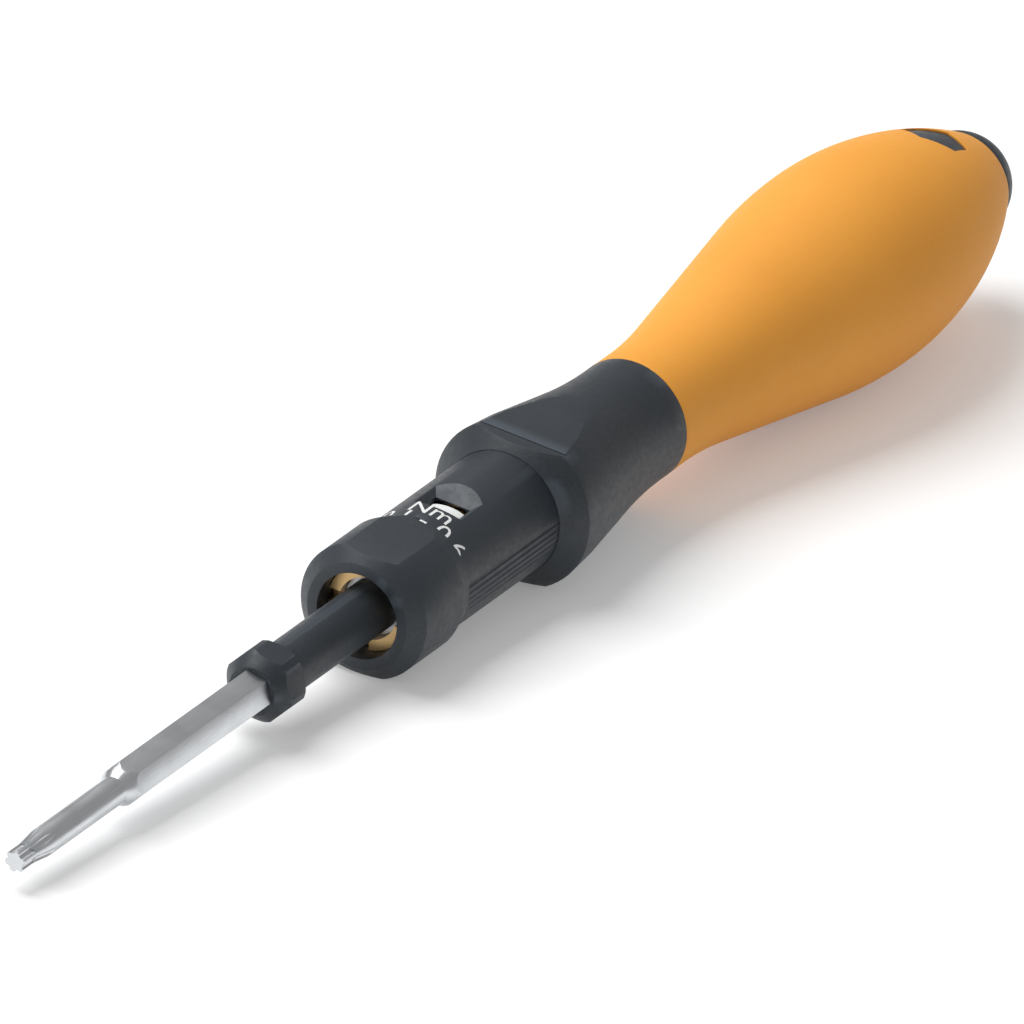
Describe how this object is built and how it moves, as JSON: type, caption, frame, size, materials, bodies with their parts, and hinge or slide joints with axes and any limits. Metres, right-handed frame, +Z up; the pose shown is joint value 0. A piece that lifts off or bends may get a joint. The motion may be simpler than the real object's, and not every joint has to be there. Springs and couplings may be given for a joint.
{
  "type": "torque screwdriver",
  "caption": "Adjustable torque screwdriver with a pull-out six-lobe blade, a plastic barrel with a scale window, and a waisted soft grip.",
  "frame": {"origin": "on the surface the tool lies on, under the middle of its bounding box", "axes": "+X along the tool from the driver tip to the handle's end, whose axis rises about 3 degrees; +Z up, out of the flats on the barrel ring and collar"},
  "size_m": [0.184, 0.0222, 0.0223],
  "materials": {
    "blade_steel": "satin",
    "steel": "machined",
    "black_plastic": "fine grain",
    "grip_rubber": "matte",
    "white_plastic": "smooth",
    "spring_steel": "satin",
    "bronze": "machined"
  },
  "bodies": {
    "handle": {"barrel": "black_plastic", "friction_washer": "bronze", "handle_core": "black_plastic", "grip": "grip_rubber", "end_cap": "black_plastic", "rear_race": "steel"},
    "adjusting_screw": {"adjusting_screw": "bronze"},
    "scale_drum": {"scale_drum": "white_plastic", "main_spring": "spring_steel"},
    "clutch_plate": {"spring_washer": "steel", "clutch_plate": "steel", "clutch_balls": "steel"},
    "spindle": {"spindle": "steel", "catch_ball": "steel", "catch_ring": "spring_steel", "front_race": "steel"},
    "thrust_cage": {"thrust_cage": "bronze", "thrust_balls": "steel"},
    "blade": {"blade": "blade_steel", "blade_sleeve": "black_plastic"}
  },
  "joints": [
    {"name": "torque_setting", "type": "hinge", "parent": "handle", "child": "adjusting_screw", "pos_m": [-0.02584, 0, 0.00646], "axis": [0.9987, 0, 0.0518], "range_deg": [0, 900]},
    {"name": "scale_travel", "type": "slide", "parent": "handle", "child": "scale_drum", "axis": [0.9987, 0, 0.0518], "range_m": [0, 0.01], "deforming": ["main_spring"]},
    {"name": "clutch_lift", "type": "slide", "parent": "handle", "child": "clutch_plate", "axis": [-0.9987, 0, -0.0518], "range_m": [0, 0.0006], "stiffness_N_per_m": 200, "springref_m": -0.0005, "deforming": ["main_spring"]},
    {"name": "drive_spin", "type": "hinge", "parent": "handle", "child": "spindle", "pos_m": [0.04746, 0, 0.01026], "axis": [0.9987, 0, 0.0518], "continuous": true},
    {"name": "cage_roll", "type": "hinge", "parent": "handle", "child": "thrust_cage", "pos_m": [0.05195, 0, 0.0105], "axis": [0.9987, 0, 0.0518], "continuous": true},
    {"name": "blade_pull", "type": "slide", "parent": "spindle", "child": "blade", "axis": [-0.9987, 0, -0.0518], "range_m": [0, 0.04]}
  ],
  "couplings": [
    {"joint": "scale_travel", "follows": "torque_setting", "m_per_rad": 0.00063662}
  ]
}
